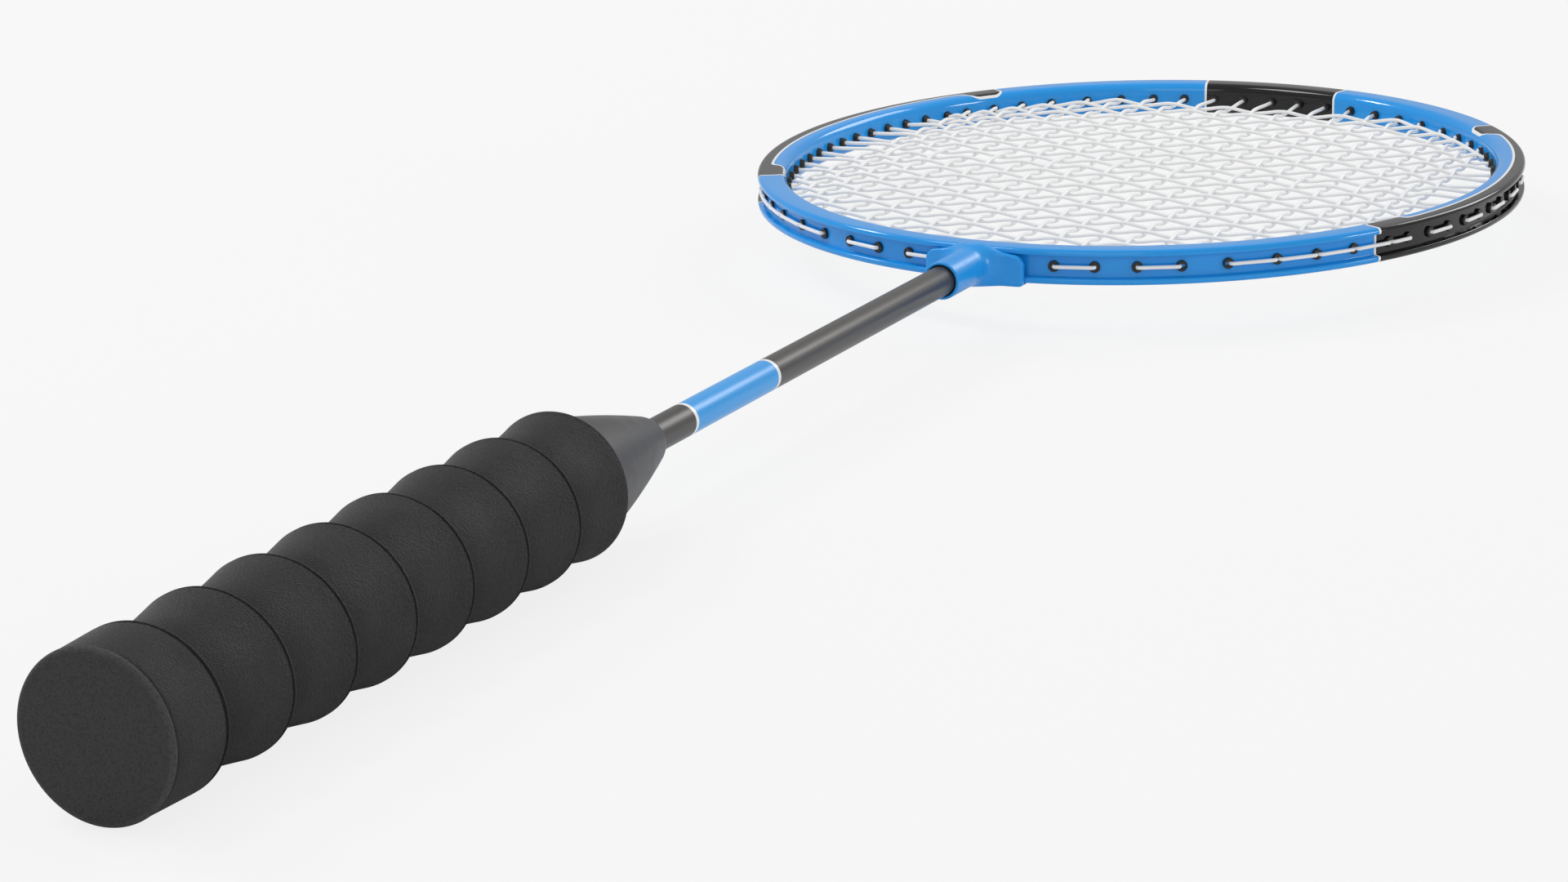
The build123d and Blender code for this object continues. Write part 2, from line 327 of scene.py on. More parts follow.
def sweepTree():
    tree, start, end = startTree("sweepFrame", [
        ("Section", "Object"), ("Half Length", "Float"), ("Half Width", "Float"),
        ("Centre", "Float"), ("Steps", "Int"), ("Material", "Material")])
    circle = addNode(tree, "GeometryNodeCurvePrimitiveCircle", {
        "Resolution": start.outputs["Steps"], "Radius": 1.0})
    # the circle's points, turned so that the first lies at the tip, and stretched to the oval
    index = addNode(tree, "GeometryNodeInputIndex").outputs[0]
    share = calc(tree, "DIVIDE", index, start.outputs["Steps"])
    angle = calc(tree, "MULTIPLY", share, -2 * math.pi)
    across = calc(tree, "MULTIPLY", calc(tree, "SINE", angle), start.outputs["Half Width"])
    along = calc(tree, "MULTIPLY_ADD", calc(tree, "COSINE", angle),
                 start.outputs["Half Length"], start.outputs["Centre"])
    spot = addNode(tree, "ShaderNodeCombineXYZ", {"X": across, "Y": along})
    oval = addNode(tree, "GeometryNodeSetPosition", {
        "Geometry": circle.outputs[0], "Position": spot.outputs[0]})
    upright = addNode(tree, "GeometryNodeSetCurveNormal", {"Curve": oval.outputs[0]}, mode="Z_UP")
    # distance from the tip along the rim, the same on both sides
    spline = addNode(tree, "GeometryNodeSplineParameter")
    whole = addNode(tree, "GeometryNodeSplineLength").outputs["Length"]
    rest = calc(tree, "SUBTRACT", whole, spline.outputs["Length"])
    nearer = calc(tree, "MINIMUM", spline.outputs["Length"], rest)
    rim = addNode(tree, "GeometryNodeStoreNamedAttribute", {
        "Geometry": upright.outputs[0], "Name": "rimPlace", "Value": nearer},
        data_type="FLOAT", domain="POINT")
    section = addNode(tree, "GeometryNodeObjectInfo", {"Object": start.outputs["Section"]})
    outline = addNode(tree, "GeometryNodeMeshToCurve", {"Mesh": section.outputs["Geometry"]})
    place = addNode(tree, "GeometryNodeInputPosition").outputs[0]
    spotX = addNode(tree, "ShaderNodeSeparateXYZ", {"Vector": place})
    marked = addNode(tree, "GeometryNodeStoreNamedAttribute", {
        "Geometry": outline.outputs[0], "Name": "sectionPlace", "Value": spotX.outputs["X"]},
        data_type="FLOAT", domain="POINT")
    tube = addNode(tree, "GeometryNodeCurveToMesh", {
        "Curve": rim.outputs[0], "Profile Curve": marked.outputs[0]})
    dressMesh(tree, start, end, tube.outputs[0])
    return tree


# signed distance, in mm, to a patch from low to high along the rim, and outwards from inner
def roundedPatch(tree, along, across, low, high, inner, rounding):
    outer = 30.0
    middle = calc(tree, "ABSOLUTE", calc(tree, "SUBTRACT", along, (low + high) / 2))
    sideways = calc(tree, "ABSOLUTE", calc(tree, "SUBTRACT", across, (inner + outer) / 2))
    qx = calc(tree, "SUBTRACT", middle, (high - low) / 2 - rounding)
    qy = calc(tree, "SUBTRACT", sideways, (outer - inner) / 2 - rounding)
    px, py = calc(tree, "MAXIMUM", qx, 0.0), calc(tree, "MAXIMUM", qy, 0.0)
    far = hypotenuse(tree, px, py)
    near = calc(tree, "MINIMUM", calc(tree, "MAXIMUM", qx, qy), 0.0)
    return calc(tree, "SUBTRACT", calc(tree, "ADD", far, near), rounding)


def frameLacquer():
    material, tree, shader = newMaterial("frameLacquer")
    plan = paintPlan
    along, across = inMillimetres(tree, "rimPlace"), inMillimetres(tree, "sectionPlace")
    hook = roundedPatch(tree, along, across, *plan["hook"], plan["hookRounding"])
    foot = roundedPatch(tree, along, across, *plan["foot"], plan["footRounding"])
    edge = spread(tree, along, *plan["bandEases"], plan["bandStart"], plan["bandEdge"], smooth=True)
    fromEdge = calc(tree, "SUBTRACT", across, edge)
    band = roundedPatch(tree, along, fromEdge, *plan["band"], 0.0, 0.0)
    crescent = calc(tree, "SMOOTH_MIN", hook, band, plan["blend"])
    crescent = calc(tree, "SMOOTH_MIN", crescent, foot, plan["blend"])
    tip = calc(tree, "SUBTRACT", along, plan["tipHalf"])
    border = calc(tree, "MINIMUM", crescent, tip)
    dark = calc(tree, "LESS_THAN", border, 0.0)
    line = calc(tree, "LESS_THAN", calc(tree, "ABSOLUTE", border), plan["pinstripe"] / 2)
    place = objectPlace(tree)
    drift = spread(tree, speckle(tree, place, 40.0), 0.3, 0.7, 0.93, 1.05)
    mottle = spread(tree, speckle(tree, place, 14.0), 0.35, 0.65, 0.0, 1.0)
    hueBlue = mixColours(tree, mottle, colours["blue"], colours["blueLight"])
    paint = mixColours(tree, dark, hueBlue, colours["black"])
    paint = mixColours(tree, line, paint, colours["white"])
    tree.links.new(paint, shader.inputs["Base Color"])
    tree.links.new(calc(tree, "MULTIPLY", drift, 0.11), shader.inputs["Roughness"])
    peel = speckle(tree, place, 700.0, 2.0)
    bumpFrom(tree, shader, peel, 0.03, 0.02 * mm)
    shader.inputs["IOR"].default_value = 1.5
    return material


def buildHeadFrame():
    profile = frameProfile()
    piece = placeMesh("headFrame", [(0, 0, 0)])
    growPiece(piece, sweepTree(), {
        "Section": profile, "Half Length": rimLong, "Half Width": rimWide, "Centre": headCentre,
        "Steps": headFrame["rimSteps"], "Material": frameLacquer()})
    bpy.data.objects.remove(profile)
    faceOutwards(piece)
    softShade(piece, 60)
    rideFrame(piece, "frame_blue", "head_frame")
    print("head frame:", len(piece.data.vertices), "points",
          [round(c * 1000, 2) for c in piece.dimensions])


buildHeadFrame()


# grommets, one on each string hole of the frame

grommet = {
    "collarLength": 1.4 * mm,
    "collarRadius": 1.52 * mm,     # at the wall
    "collarTip": 1.22 * mm,
    "bore": (0.60 * mm, 0.60 * mm),       # half sizes along the rim and across it, for one string
    "highBore": (0.60 * mm, 1.17 * mm),   # for two strings, one above the other
    "wideBore": (1.17 * mm, 0.60 * mm),   # for two strings, side by side
    "floor": 6.68 * mm,            # inner wall to the flange's seat in the groove
    "flangeRadius": 1.56 * mm,
    "flangeThickness": 0.78 * mm,
    "rounding": 0.14 * mm,
    "sides": 24,
}


# outward normal of the rim's middle line at the point of it that is nearest to (x, y)
def rimNormal(x, y):
    y -= headCentre
    t = math.atan2(x / rimWide, y / rimLong)
    for _ in range(20):
        px, py = rimWide * math.sin(t), rimLong * math.cos(t)
        dx, dy = rimWide * math.cos(t), -rimLong * math.sin(t)
        slope = (px - x) * dx + (py - y) * dy
        bend = dx * dx + dy * dy - (px - x) * px - (py - y) * py
        t -= slope / bend
    normal = Vector((px / rimWide ** 2, py / rimLong ** 2, 0)).normalized()
    return normal, Vector((px, py + headCentre, 0))


# places of a CAD grommet node's bushes on the inner wall, with the way out of each
def holesOf(nodeName, sortBy):
    work = bmesh.new()
    work.from_mesh(nodes[nodeName].data)
    bmesh.ops.remove_doubles(work, verts=work.verts, dist=0.01 * mm)
    left, holes = set(work.verts), []
    while left:
        island, queue = set(), [next(iter(left))]
        while queue:
            v = queue.pop()
            if v not in island:
                island.add(v)
                queue += [e.other_vert(v) for e in v.link_edges]
        left -= island
        low = [min(v.co[i] for v in island) for i in range(2)]
        high = [max(v.co[i] for v in island) for i in range(2)]
        centre = ((low[0] + high[0]) / 2, (low[1] + high[1]) / 2)
        out, middle = rimNormal(*centre)
        holes.append((middle - out * headFrame["width"] / 2, out))
    work.free()
    return sorted(holes, key=lambda hole: hole[0][sortBy])


tipHoles, throatHoles = holesOf("tip_grommets", 0), holesOf("throat_grommets", 0)
leftHoles, rightHoles = holesOf("left_grommets", 1), holesOf("right_grommets", 1)
allHoles = tipHoles + throatHoles + leftHoles + rightHoles
print("string holes:", len(allHoles))


# a bush along z, from its collar inside the head to its flange in the groove
def bushMesh(name, bore):
    g = grommet
    seat, top = g["floor"], g["floor"] + g["flangeThickness"]
    collarLine = roundOff([
        (g["collarTip"] * 0.8, -g["collarLength"], 0),
        (g["collarTip"], -g["collarLength"], g["rounding"]),
        (g["collarRadius"], 0, 0)], 3)
    flangeLine = roundOff([
        (g["collarTip"], seat, 0), (g["flangeRadius"], seat, 0),
        (g["flangeRadius"], top, g["rounding"]),
        (g["flangeRadius"] * 0.75, top, 0)], 3)
    outer = [(r, r, h) for r, h in collarLine + flangeLine]
    inner = [(bore[0] + w, bore[1] + w, h) for w, h in (
        (0.06 * mm, top), (0, top - 0.08 * mm), (0, 0), (0, 0.08 * mm - g["collarLength"]),
        (0.06 * mm, -g["collarLength"]))]
    rings = [inner[-1]] + outer + inner[:-1]
    sides, points, faces = g["sides"], [], []
    for along, across, height in rings:
        for k in range(sides):
            a = 2 * math.pi * k / sides
            points.append((along * math.cos(a), across * math.sin(a), height))
    for i in range(len(rings)):
        for k in range(sides):
            m, n = (k + 1) % sides, (i + 1) % len(rings)
            faces.append((i * sides + k, i * sides + m, n * sides + m, n * sides + k))
    bush = placeMesh(name, points, faces)
    faceOutwards(bush)
    softShade(bush, 50)
    return bush


def plantTree():
    tree, start, end = startTree("plantGrommets", [
        ("Bush", "Object"), ("High Bush", "Object"), ("Wide Bush", "Object"),
        ("Material", "Material")])
    bushes = [addNode(tree, "GeometryNodeObjectInfo", {
        "Object": start.outputs[label], "As Instance": True})
        for label in ("Bush", "High Bush", "Wide Bush")]
    both = addNode(tree, "GeometryNodeGeometryToInstance")
    for bush in reversed(bushes):
        tree.links.new(bush.outputs["Geometry"], both.inputs[0])
    outwards = addNode(tree, "GeometryNodeInputNamedAttribute", {"Name": "outwards"},
                       data_type="FLOAT_VECTOR")
    kind = addNode(tree, "GeometryNodeInputNamedAttribute", {"Name": "boreKind"}, data_type="INT")
    upright = addNode(tree, "FunctionNodeAxesToRotation", {
        "Primary Axis": outwards.outputs["Attribute"], "Secondary Axis": (0, 0, 1)},
        primary_axis="Z", secondary_axis="Y")
    planted = addNode(tree, "GeometryNodeInstanceOnPoints", {
        "Points": start.outputs["Geometry"], "Instance": both.outputs[0], "Pick Instance": True,
        "Instance Index": kind.outputs["Attribute"], "Rotation": upright.outputs[0]})
    dressMesh(tree, start, end, planted.outputs[0])
    return tree


def grommetNylon():
    material, tree, shader = newMaterial("grommetNylon")
    place = objectPlace(tree)
    tone = spread(tree, speckle(tree, place, 600.0), 0.3, 0.7, 0.0, 1.0)
    base = mixColours(tree, tone, colours["nylonBlack"], colours["nylonWorn"])
    tree.links.new(base, shader.inputs["Base Color"])
    tree.links.new(spread(tree, tone, 0, 1, 0.38, 0.5), shader.inputs["Roughness"])
    bumpFrom(tree, shader, speckle(tree, place, 2500.0), 0.15, 0.03 * mm)
    return material


def buildGrommets():
    bushes = [bushMesh(bore + "Bush", grommet[bore]) for bore in ("bore", "highBore", "wideBore")]
    piece = placeMesh("grommets", [spot for spot, out in allHoles])
    shared = {end: [mainHole(side * sharedMain(row), end)
                    for row in crossRows for side in (-1, 1)
                    if sharedMain(row) is not None and row * end > 0] for end in (-1, 1)}
    ways = piece.data.attributes.new("outwards", "FLOAT_VECTOR", "POINT")
    ways.data.foreach_set("vector", [c for spot, out in allHoles for c in out])
    kinds = piece.data.attributes.new("boreKind", "INT", "POINT")
    kinds.data.foreach_set("value", [
        1 if hole in shared[1] else 2 if hole in shared[-1] else 0 for hole in allHoles])
    growPiece(piece, plantTree(), {
        "Bush": bushes[0], "High Bush": bushes[1], "Wide Bush": bushes[2],
        "Material": grommetNylon()})
    for bush in bushes:
        bpy.data.objects.remove(bush)
    rideFrame(piece, "grommet_black",
              "tip_grommets", "throat_grommets", "left_grommets", "right_grommets")
    print("grommets:", len(allHoles), "of them for two strings:", len(shared[1] + shared[-1]))


# string bed

strings = {
    "diameter": 1.12 * mm,
    "air": 0.04 * mm,              # between two strings that cross
    "sides": 12,
    "perCrossing": 7,              # points from one crossing to the next
    "crossPitch": 8.6 * mm,
    "crossRows": 12,               # each side of the middle cross
    "lastTipRow": 7,               # rows past this one share the grommets of mains
    "lastThroatRow": -6,
    "runHeight": 8.05 * mm,        # of the outside runs, from the inner wall
    "bend": 0.8 * mm,
    "settle": 0.75,                # how far a run draws in to the middle of the groove
    "tuck": 5.0 * mm,              # where a string's end is hidden in its grommet
}
mainCount = len(tipHoles) // 2    # each side of the middle main
outerMains = 3                    # strung by themselves, each side
crossRows = range(-strings["crossRows"], strings["crossRows"] + 1)
lift = (strings["diameter"] + strings["air"]) / 2


def sharedMain(row):
    if row > strings["lastTipRow"]:
        return mainCount - (row - strings["lastTipRow"] - 1)
    if row < strings["lastThroatRow"]:
        return mainCount - (strings["lastThroatRow"] - row - 1)
    return None


def mainHole(main, end):
    return (tipHoles if end > 0 else throatHoles)[main + mainCount]


def crossHole(row, side):
    shared = sharedMain(row)
    if shared is not None:
        return mainHole(side * shared, 1 if row > 0 else -1)
    return (leftHoles if side < 0 else rightHoles)[row - strings["lastThroatRow"]]


# 1 where the main passes over the cross string, -1 where under; the weave turns at the middle
def mainOver(main, row):
    return (1 if row > 0 else -1) * (1 if (main + row) % 2 == 0 else -1)


def rowPlace(row):
    return headCentre + row * strings["crossPitch"]


def mainPlace(main, y):
    throat, tip = mainHole(main, -1)[0], mainHole(main, 1)[0]
    return throat.x + (tip.x - throat.x) * (y - throat.y) / (tip.y - throat.y)


# points through (x, y, z) knots, straight in plan and rising and falling in soft steps
def waved(knots):
    points, n = [], strings["perCrossing"]
    for a, b in zip(knots, knots[1:]):
        for k in range(n):
            t = k / n
            soft = (1 - math.cos(math.pi * t)) / 2
            points.append(Vector((
                a.x + (b.x - a.x) * t, a.y + (b.y - a.y) * t, a.z + (b.z - a.z) * soft)))
    return points + [knots[-1]]


def mouthOf(hole, height, reach):
    spot, out = hole
    return spot + out * reach + Vector((0, 0, height))


def mainKnots(main, end):
    rows = [r for r in crossRows if sharedMain(r) is None or abs(main) < sharedMain(r)]
    knots = [mouthOf(mainHole(main, -1), mainHeight(main, -1), -grommet["collarLength"])]
    knots += [Vector((mainPlace(main, rowPlace(r)), rowPlace(r), lift * mainOver(main, r)))
              for r in rows]
    knots.append(mouthOf(mainHole(main, 1), mainHeight(main, 1), -grommet["collarLength"]))
    return knots if end < 0 else knots[::-1]


def mainHeight(main, end):
    shared = [sharedMain(r) for r in crossRows if r * end > 0]
    return lift if abs(main) in shared else 0.0


def crossKnots(row, side):
    reach = mainCount if sharedMain(row) is None else sharedMain(row) - 1
    knots = [mouthOf(crossHole(row, -1), crossHeight(row), -grommet["collarLength"])]
    for main in range(-reach, reach + 1):
        knots.append(Vector((
            mainPlace(main, rowPlace(row)), rowPlace(row), -lift * mainOver(main, row))))
    knots.append(mouthOf(crossHole(row, 1), crossHeight(row), -grommet["collarLength"]))
    return knots if side < 0 else knots[::-1]


def crossHeight(row):
    return 0.0 if sharedMain(row) is None else -lift


# where a run starts over a grommet: two strings that share one at the throat lie side by side there
def runMouth(hole, height, way):
    spot = mouthOf(hole, height, strings["runHeight"])
    if height and hole[0].y < headCentre:
        spot.z = 0
        spot += way * lift
    return spot


# out of one grommet, round a small bend, along the groove and in through the next
def outsideRun(hole, height, following, nextHeight):
    bend = strings["bend"]
    way = (following[0] - hole[0]).normalized()
    first, last = runMouth(hole, height, way), runMouth(following, nextHeight, -way)
    points, back, steps = [], [], 5
    for k in range(steps + 1):
        a = math.pi / 2 * k / steps
        inwards, sideways = 1 - math.sin(a), 1 - math.cos(a)
        points.append(first - hole[1] * bend * inwards + way * bend * sideways)
        back.append(last - following[1] * bend * inwards - way * bend * sideways)
    # both runs draw in to the middle of the groove between their grommets
    for k in range(1, 8):
        t = k / 8
        spot = points[steps].lerp(back[steps], t)
        spot.z *= 1 - math.sin(math.pi * t) ** 2 * strings["settle"]
        points.append(spot)
    return points + back[::-1]


# one string's route: stretches are knots inside the head, holes the (hole, height) at their ends
def lacedRoute(stretches, holes):
    points = [mouthOf(*holes[0][0], strings["tuck"])]
    for i, knots in enumerate(stretches):
        points += waved(knots)
        if i < len(stretches) - 1:
            points += outsideRun(*holes[i][1], *holes[i + 1][0])
    points.append(mouthOf(*holes[-1][1], strings["tuck"]))
    return points


def lacedMains(order, end):
    stretches, holes = [], []
    for main in order:
        stretches.append(mainKnots(main, end))
        holes.append([(mainHole(main, e), mainHeight(main, e)) for e in (end, -end)])
        end = -end
    return lacedRoute(stretches, holes)


def lacedCrosses():
    stretches, holes, side = [], [], -1
    for row in range(strings["crossRows"], -strings["crossRows"] - 1, -1):
        stretches.append(crossKnots(row, side))
        holes.append([(crossHole(row, s), crossHeight(row)) for s in (side, -side)])
        side = -side
    return lacedRoute(stretches, holes)


def stringTree():
    tree, start, end = startTree("skinString", [
        ("Radius", "Float"), ("Sides", "Int"), ("Material", "Material")])
    route = addNode(tree, "GeometryNodeMeshToCurve", {"Mesh": start.outputs["Geometry"]})
    ring = addNode(tree, "GeometryNodeCurvePrimitiveCircle", {
        "Resolution": start.outputs["Sides"], "Radius": start.outputs["Radius"]})
    tube = addNode(tree, "GeometryNodeCurveToMesh", {
        "Curve": route.outputs[0], "Profile Curve": ring.outputs[0], "Fill Caps": True})
    dressMesh(tree, start, end, tube.outputs[0])
    return tree


def stringNylon():
    material, tree, shader = newMaterial("stringNylon")
    place = objectPlace(tree)
    tone = spread(tree, speckle(tree, place, 60.0), 0.3, 0.7, 0.0, 1.0)
    base = mixColours(tree, tone, colours["stringWhite"], colours["stringShade"])
    tree.links.new(base, shader.inputs["Base Color"])
    tree.links.new(spread(tree, tone, 0, 1, 0.32, 0.42), shader.inputs["Roughness"])
    bumpFrom(tree, shader, speckle(tree, place, 1800.0), 0.06, 0.02 * mm)
    return material


def skinRoutes(name, routes, tree, material, replaced):
    points, edges = [], []
    for route in routes:
        kept = [route[0]]
        for p in route[1:]:
            if (p - kept[-1]).length > 0.02 * mm:
                kept.append(p)
        edges += [(len(points) + i, len(points) + i + 1) for i in range(len(kept) - 1)]
        points += kept
    piece = placeMesh(name, points, edges=edges)
    growPiece(piece, tree, {
        "Radius": strings["diameter"] / 2, "Sides": strings["sides"], "Material": material})
    softShade(piece, 60)
    rideFrame(piece, "string_white", replaced)
    print(name + ":", len(piece.data.polygons), "faces")


def buildStrings():
    tree, material = stringTree(), stringNylon()
    loose = mainCount - outerMains
    routes = [
        lacedMains(range(loose - 1, -loose, -1), -1),
        lacedMains(range(loose, mainCount + 1), 1),
        lacedMains(range(1 - loose, -mainCount - 1, -1), 1)]
    skinRoutes("mainStrings", routes, tree, material, "main_strings")
    skinRoutes("crossStrings", [lacedCrosses()], tree, material, "cross_strings")


buildGrommets()
buildStrings()


# shaft

shaftLow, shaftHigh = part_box("shaft")
shaft = {
    "radius": shaftHigh.x,
    "band": (240.4 * mm, 286.6 * mm),
    "ring": 1.35 * mm,
    "endRounding": 0.3 * mm,
    "sides": 96,
}


def shaftLacquer():
    material, tree, shader = newMaterial("shaftLacquer")
    place = addNode(tree, "ShaderNodeTexCoord").outputs["Object"]
    y = addNode(tree, "ShaderNodeSeparateXYZ", {"Vector": place}).outputs["Y"]
    low, high = shaft["band"]
    fromMiddle = calc(tree, "ABSOLUTE", calc(tree, "SUBTRACT", y, (low + high) / 2))
    inBand = calc(tree, "LESS_THAN", fromMiddle, (high - low) / 2)
    inBlue = calc(tree, "LESS_THAN", fromMiddle, (high - low) / 2 - shaft["ring"])
    streaks = speckle(tree, objectPlace(tree, (1, 0.03, 1)), 700.0)
    tone = spread(tree, streaks, 0.3, 0.7, 0.0, 1.0)
    grey = mixColours(tree, tone, colours["shaftGrey"], colours["shaftStreak"])
    paint = mixColours(tree, inBand, grey, colours["white"])
    paint = mixColours(tree, inBlue, paint, colours["bandBlue"])
    tree.links.new(paint, shader.inputs["Base Color"])
    tree.links.new(calc(tree, "MULTIPLY_ADD", inBand, -0.08, 0.36), shader.inputs["Roughness"])
    tree.links.new(calc(tree, "MULTIPLY_ADD", inBand, -0.55, 0.55), shader.inputs["Metallic"])
    bumpFrom(tree, shader, streaks, 0.05, 0.01 * mm)
    return material


def buildShaft():
    r, low, high, ease = shaft["radius"], shaftLow.y, shaftHigh.y, shaft["endRounding"]
    line = roundOff([(0, low, 0), (r, low, ease), (r, high, ease), (0, high, 0)], 3)
    piece = spinAboutShaft("shaftTube", line, shaft["sides"])
    piece.data.materials.append(shaftLacquer())
    softShade(piece, 40)
    rideFrame(piece, "shaft_grey", "shaft")
    print("shaft done")


buildShaft()


# joint between shaft and head

jointLow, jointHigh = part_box("t_joint")
joint = {                          # millimetres
    "mouth": jointLow.y / mm,
    "sleeve": jointHigh.z / mm,    # radius
    "halfSaddle": jointHigh.x / mm + 0.5,
    "thickness": 2.0,
    "gap": 0.15,                   # to the frame's lips
    "skirt": (jointLow.z / mm, -5.1, -2.4),   # bottom, top, and how far in under the frame
    "topEdge": (4.2, -0.14),       # height 4 mm from the middle, and its slope
    "corner": 2.6,
    "edge": 0.55,
    "mouthEdge": 0.4,
    "hem": 1.3,                    # rounding of its lower outer edge
    "flare": 5.6,
    "mouthBore": (4.42, 4.0),      # radius and depth
    "bore": (4.12, 410.3),         # radius and its far end
    "voxel": 0.2,
}


def jointPlastic():
    material, tree, shader = newMaterial("jointPlastic")
    place = objectPlace(tree)
    tone = spread(tree, speckle(tree, place, 30.0), 0.35, 0.65, 0.0, 1.0)
    base = mixColours(tree, tone, colours["blue"], colours["blueLight"])
    tree.links.new(base, shader.inputs["Base Color"])
    rough = spread(tree, speckle(tree, place, 300.0), 0.3, 0.7, 0.26, 0.32)
    tree.links.new(rough, shader.inputs["Roughness"])
    bumpFrom(tree, shader, speckle(tree, place, 1200.0), 0.05, 0.02 * mm)
    return material


# the two fields' common inside, its edge rounded
def roundedMeet(a, b, radius):
    far = np.hypot(np.maximum(a + radius, 0), np.maximum(b + radius, 0))
    return np.minimum(np.maximum(a, b), -radius) + far


def blended(a, b, width):
    h = np.maximum(width - np.abs(a - b), 0) / width
    return np.minimum(a, b) - h * h * width / 4


# the joint as a distance field in millimetres: sleeve and saddle flow into each other
def jointField(x, y, z):
    j = joint
    halfWide, halfLong = frameHigh.x / mm, (frameHigh.y - frameLow.y) / 2 / mm
    rx, ry = x / halfWide, (y - headCentre / mm) / halfLong
    f = np.hypot(rx, ry)
    out = (f - 1) / (np.hypot(rx / halfWide, ry / halfLong) / f)   # outside the frame's outer face
    bottom, skirtTop, reach = j["skirt"]
    height, fall = j["topEdge"]
    top = z - (height + fall * (np.abs(x) - 4))
    outline = roundedMeet(np.abs(x) - j["halfSaddle"], top, j["corner"])
    outline = roundedMeet(outline, bottom - z, j["corner"] * 0.6)
    shell = roundedMeet(out - j["thickness"], bottom - z, j["hem"])
    saddle = roundedMeet(np.maximum(outline, reach - out), shell, j["edge"])
    around = np.hypot(x, z)
    sleeve = roundedMeet(around - j["sleeve"], j["mouth"] - y, j["mouthEdge"])
    sleeve = np.maximum(sleeve, -1 - out)
    body = blended(sleeve, saddle, j["flare"])
    cavity = np.maximum(out - j["gap"], skirtTop - z)
    body = np.maximum(body, -cavity)
    body = np.maximum(body, bottom - z)
    mouth = np.maximum(around - j["mouthBore"][0], y - j["mouth"] - j["mouthBore"][1])
    bore = np.maximum(around - j["bore"][0], y - j["bore"][1])
    return np.maximum(body, -np.minimum(mouth, bore))


def buildJoint():
    step = joint["voxel"]
    low = [c / mm - 4 * step for c in jointLow]
    high = [c / mm + 4 * step for c in jointHigh]
    axes = [np.arange(a, b, step) for a, b in zip(low, high)]
    field = jointField(*np.meshgrid(*axes, indexing="ij"))
    grid = openvdb.FloatGrid(4 * step)
    grid.copyFromArray(np.clip(field, -4 * step, 4 * step).astype(np.float32))
    points, quads = grid.convertToQuads()
    points = (np.asarray(points) * step + np.array(low)) * mm
    piece = placeMesh("jointShell", points.tolist(), quads.tolist())
    faceOutwards(piece)
    piece.data.materials.append(jointPlastic())
    softShade(piece, 50)
    rideFrame(piece, "joint_blue", "t_joint")
    print("joint:", len(piece.data.polygons), "faces")


buildJoint()


# handle: core, cone, padded grip and butt cap

gripLow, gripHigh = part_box("grip_wrap")
handle = {
    "turns": 8,
    "pitch": 23.35 * mm,
    "lipRadius": 18.28 * mm,
    "lipTaper": 0.08 * mm,
    "valleyDepth": 3.35 * mm,
    "flare": 1.22,                 # 1 is straight from valley to lip
    "valleyWidth": 1.5 * mm,
    "seamPlace": 0.5 * mm,         # from the lip
    "seamWidth": 0.8 * mm,
    "seamDepth": 0.6 * mm,
    "firstSeam": 1.0 * mm,         # width of the first turn's seam
    "lean": (0.065, -0.05),        # the turns lie a little askew
    "buttRadius": 17.95 * mm,
    "hemPlace": 1.05 * mm,         # where the wrap begins, round the butt's disc
    "hemInset": 0.45 * mm,
    "hemRounding": 0.3 * mm,
    "lastRounding": 0.8 * mm,      # of the last lip, over the cone
    "seamCurve": ((0.12, 0.5), (0.3, 0.92), (0.5, 1.0), (0.7, 0.92), (0.88, 0.5)),
    "valleyCurve": ((0.05, 0.42), (0.2, 0.62), (0.45, 0.8), (0.7, 0.93), (1.0, 1.0)),
    "discRadius": 16.6 * mm,       # of the disc inside the wrap
    "sides": 180,
}


def coreWood():
    material, tree, shader = newMaterial("coreWood")
    rings = addNode(tree, "ShaderNodeTexWave", {
        "Vector": objectPlace(tree, (1, 0.08, 1)), "Scale": 260.0,
        "Distortion": 3.0, "Detail": 2.0})
    base = mixColours(tree, rings.outputs["Fac"], colours["coreWood"], colours["coreGrain"])
    tree.links.new(base, shader.inputs["Base Color"])
    shader.inputs["Roughness"].default_value = 0.6
    bumpFrom(tree, shader, rings.outputs["Fac"], 0.1, 0.1 * mm)
    return material


def conePlastic():
    material, tree, shader = newMaterial("conePlastic")
    place = objectPlace(tree)
    tone = spread(tree, speckle(tree, place, 50.0), 0.35, 0.65, 0.0, 1.0)
    base = mixColours(tree, tone, colours["coneGrey"], colours["coneWorn"])
    tree.links.new(base, shader.inputs["Base Color"])
    rough = spread(tree, speckle(tree, place, 200.0), 0.3, 0.7, 0.36, 0.46)
    tree.links.new(rough, shader.inputs["Roughness"])
    bumpFrom(tree, shader, speckle(tree, place, 2200.0), 0.10, 0.02 * mm)
    return material


# fine cells and pores of a leather, as a height
def leatherGrain(tree, place, scale):
    cells = addNode(tree, "ShaderNodeTexVoronoi", {"Vector": place, "Scale": scale},
                    feature="SMOOTH_F1")
    fine = speckle(tree, place, scale * 1.8, 3.0, 0.6)
    return calc(tree, "MULTIPLY_ADD", fine, 0.8, cells.outputs["Distance"])


